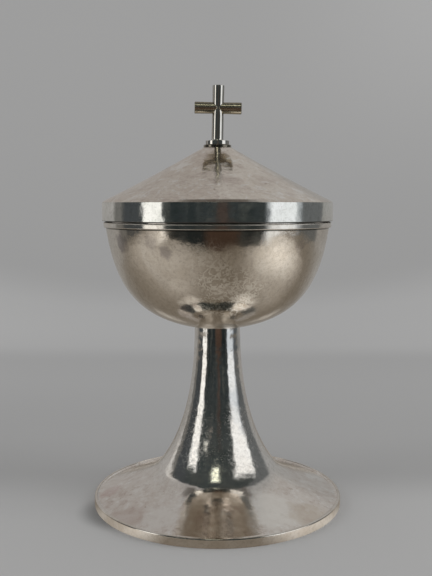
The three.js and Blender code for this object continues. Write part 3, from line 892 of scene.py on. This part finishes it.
# A painted contact shadow close beside the foot's left
contact_shade = paper_finish.distance(paper_place, (-0.046, -0.02, 0)).smooth(0.029, 0.016) * 0.42
paper_surface = paper_finish.node("ShaderNodeBsdfDiffuse", {}, {"Color": paper_tone_with_painted_light * (1 - contact_shade)})
paper_finish.node("ShaderNodeOutputMaterial", {}, {"Surface": paper_surface})
sweep = stage_grid("floor", sweep_points, paper, True)
sweep.visible_glossy = sweep.visible_diffuse = sweep.visible_shadow = False
print("floor: a dish", 2 * (FLOOR_EDGE + SWEEP_RADIUS), "m across")

# %% [markdown]
# ## The table that the silver sees
# The bowl mirrors the table it stands on. Its front edge ends short of the camera, and on the right it slants away a
# little. A lamp over a real table would throw the same pools of light, but a table that glows by itself needs no
# lamp and leaves no noise. Only reflections see it.

# %% Table
TABLE_FRONT, TABLE_SIDE, TABLE_BACK, TABLE_DROP = -0.325, 0.6, 0.9, 2e-5
EDGE_SLANT, SLANT_START = 0.2, 0.1
NEAR_TONE, FAR_TONE, POOL_TINT = (0.185, 0.16, 0.13), (0.31, 0.3, 0.285), (1, 0.97, 0.92)
# Pools of light: x and y of the middle, reach, all in metres, and strength
POOLS = (
    (-0.2, -0.16, 0.25, 0.25), (-0.42, -0.06, 0.25, 0.25), (-0.45, -0.26, 0.16, 0.35),
    (0.31, -0.15, 0.27, 0.75), (-0.064, -0.032, 0.024, 0.2), (0.064, -0.032, 0.024, 0.28),
    (-0.05, -0.057, 0.026, 0.42), (0.053, -0.058, 0.036, 0.5), (0.01, -0.115, 0.05, 0.09),
    (0.11, -0.01, 0.09, 0.14), (0.09, -0.1, 0.075, 0.13), (-0.1, -0.09, 0.07, 0.1),
    (-0.072, 0.118, 0.048, 0.25), (0.072, 0.118, 0.048, 0.25), (-0.405, -0.285, 0.08, 0.5))

glow, table_finish = new_material("table_glow")
table_place = table_finish.node("ShaderNodeTexCoord", output="Object")
# The glow is painted light and shade: dimmer at and in front of the vessel, brighter further back, plus the pools
table_tone = table_finish.mix(table_finish.axis(table_place, "Y").smooth(0.0, 0.45), NEAR_TONE, FAR_TONE)
pools = sum(table_finish.distance(table_place, (x, y, 0)).smooth(reach, 0.0) * strength
            for x, y, reach, strength in POOLS)
pool_colour = table_finish.node("ShaderNodeCombineXYZ", {}, {i: pools * c for i, c in enumerate(POOL_TINT)})
table_colour = table_finish.node("ShaderNodeVectorMath", {"operation": "ADD"}, {0: table_tone, 1: pool_colour})
table_surface = table_finish.node("ShaderNodeEmission", {}, {"Color": table_colour, "Strength": 1.0})
table_finish.node("ShaderNodeOutputMaterial", {}, {"Surface": table_surface})

table_x, depth_share = np.meshgrid(np.linspace(-TABLE_SIDE, TABLE_SIDE, 13), np.linspace(0, 1, 9))
front_edge = TABLE_FRONT + EDGE_SLANT * np.clip(table_x - SLANT_START, 0, None)
table_y = front_edge + (TABLE_BACK - front_edge) * depth_share
table_points = np.stack([table_x, table_y, 0 * table_x - TABLE_DROP], axis=-1)
table = stage_grid("table_in_reflections", table_points, glow, False)
table.visible_camera = table.visible_diffuse = table.visible_shadow = table.visible_transmission = False
print("table:", len(POOLS), "pools, and its front edge is", -TABLE_FRONT, "m before the vessel")

# %% [markdown]
# ## Light on the floor
# Two soft boxes stand beside the vessel. Area lights could light the silver as well, but the silver already sees the
# boxes in the room that is painted below, so here they are linked to the floor alone.


# %% Soft lights
floor_only = bpy.data.collections.new("floor_only")
floor_only.objects.link(sweep)


def soft_light(name, azimuth, distance, width, height, radiance, colour):
    """Upright light box on the table. Azimuth is 0 towards the camera and grows to the right, seen from above.
    Its power is radiance x width x height x 4."""
    data = bpy.data.lights.new(name, "AREA")
    data.shape = "RECTANGLE"
    data.size, data.size_y = width, height
    data.energy = radiance * width * height * 4
    data.color = colour
    light = bpy.data.objects.new(name, data)
    a = math.radians(azimuth)
    light.location = (distance * math.sin(a), -distance * math.cos(a), height / 2)
    light.rotation_euler = (math.radians(90), 0, a)
    light.visible_camera = False
    bpy.context.scene.collection.objects.link(light)
    light.light_linking.receiver_collection = floor_only
    print("light:", name, round(data.energy, 2), "W")


soft_light("left_light", -70, 1.5, 0.9, 1.4, 0.9, (1.0, 0.995, 0.98))
soft_light("right_light", 80, 1.3, 0.9, 1.2, 1.5, (1.0, 0.995, 0.985))

# %% [markdown]
# ## The room that the silver sees
# The silver shows a dark room behind the camera, light walls behind the vessel, a tall soft light on each side and a
# small lamp high in front. An image of a room could be wrapped round the world, but a few soft-edged fields of
# colour are all that a hammered mirror shows. Each is laid over the ones before it. Azimuth is 0 behind the camera
# and grows to the right, and elevation is 0 at the horizon, both in degrees.

# %% Room
world = bpy.data.worlds.new("room")
world.use_nodes = True
world.cycles.sampling_method = "NONE"
bpy.context.scene.world = world
room = Finish(world.node_tree)
direction = room.node("ShaderNodeTexCoord", output="Generated")
east, north, up = [room.axis(direction, name) for name in "XYZ"]
azimuth = room.maths("ARCTAN2", east, 0 - north) * (180 / math.pi)
elevation = room.maths("ARCSINE", up) * (180 / math.pi)
arching = elevation * elevation * (1 / 3600)
off_front = room.maths("ABSOLUTE", azimuth)
murk = room.node("ShaderNodeTexNoise", {}, {"Vector": direction, "Scale": 7.0, "Detail": 5.0, "Roughness": 0.6})
room_tone = room.mix(elevation.smooth(-16, 2), (0.013, 0.0145, 0.0145), (0.031, 0.037, 0.038))

walls = (
    # the dark room behind the camera, murky, with a brown upright stripe in its middle
    (elevation.smooth(2, 30), (0.048, 0.055, 0.054)),
    (murk.smooth(0.48, 0.68) * 0.8, (0.066, 0.07, 0.064)),
    ((1 - murk.smooth(0.34, 0.46)) * 0.6, (0.014, 0.02, 0.0195)),
    (azimuth.between(0, 10, 3) * (1 - elevation.smooth(12, 40)) * (0.85 - elevation.smooth(-8, -1) * 0.3),
     (0.08, 0.05, 0.038)),
    (azimuth.between(-9, 19, 4) * (1 - elevation.smooth(-6, -2)) * 0.85, (0.075, 0.046, 0.032)),
    (azimuth.between(-12, 23, 4) * (1 - elevation.smooth(-19, -16)), (0.048, 0.03, 0.021)),
    # the sides
    (azimuth.between(-150, -104, 3), (0.15, 0.145, 0.135)),
    (azimuth.between(-104, -79, 3), (0.055, 0.06, 0.063)),
    (azimuth.between(90, 150, 5), (0.12, 0.125, 0.125)),
    # the light walls behind the vessel, whose edges arch inwards, and the ceiling over them
    (1 - (azimuth - 35 * arching).smooth(-123, -118), (0.36, 0.345, 0.33)),
    ((azimuth - 35 * arching).between(-128, -119, 2) * elevation.between(5, 42, 8), (0.6, 0.58, 0.55)),
    ((azimuth + 25 * arching).smooth(121, 130), (0.33, 0.325, 0.315)),
    (off_front.smooth(118, 124) * (1 - elevation.smooth(-3, 2)), (0.3, 0.29, 0.275)),
    (elevation.smooth(60, 66) * off_front.smooth(80, 100), (0.12, 0.11, 0.1)),
    (azimuth.smooth(120, 140) * elevation.between(22, 58, 8), (0.42, 0.41, 0.395)),
)
print("room:", len(walls), "fields of wall")

# %% [markdown]
# ## The lights that the silver sees
# Each tall soft light is a column of azimuth with a slanting top, and the right one is dimmer below. They could be
# glowing planes in the room, but in another view such a plane might stand in the camera's way. A field in the sky
# never does.

# %% Light boxes and lamps
left_top = 1 - (elevation - (azimuth + 57) * 0.48).smooth(40, 45)
right_top = 1 - (elevation + (azimuth - 48) * 0.32).smooth(49, 54)
right_foot = 1 - elevation.smooth(20, 30)
lights = (
    (azimuth.between(-76, -54, 1.5) * left_top, (1.04, 1.02, 0.97)),
    (azimuth.between(49, 89, 4) * right_foot, (0.4, 0.42, 0.44)),
    (azimuth.between(51, 82, 3) * right_foot, (0.84, 0.86, 0.87)),
    (azimuth.between(45, 91, 3) * right_top * elevation.smooth(10, 18), (0.98, 0.97, 0.94)),
    # the lamp high in front, and two faint ones
    (azimuth.between(-15, 5, 2) * elevation.between(48, 59, 1.5), (1.25, 1.25, 1.0)),
    (azimuth.between(-40, -28, 2) * elevation.between(27, 31, 1), (0.8, 0.78, 0.7)),
    (azimuth.between(-26, -18, 2) * elevation.between(20, 23, 1), (0.35, 0.3, 0.26)),
)
for share, colour in walls + lights:
    room_tone = room.mix(share, room_tone, colour)

in_reflection = room.node("ShaderNodeLightPath", output="Is Glossy Ray")
radiance = room.mix(in_reflection, (0.4, 0.4, 0.4), room_tone)
backdrop = room.node("ShaderNodeBackground", {}, {"Color": radiance, "Strength": 1.0})
room.node("ShaderNodeOutputWorld", {}, {"Surface": backdrop})
print("room:", len(lights), "lights,", len(room.tree.nodes), "nodes")
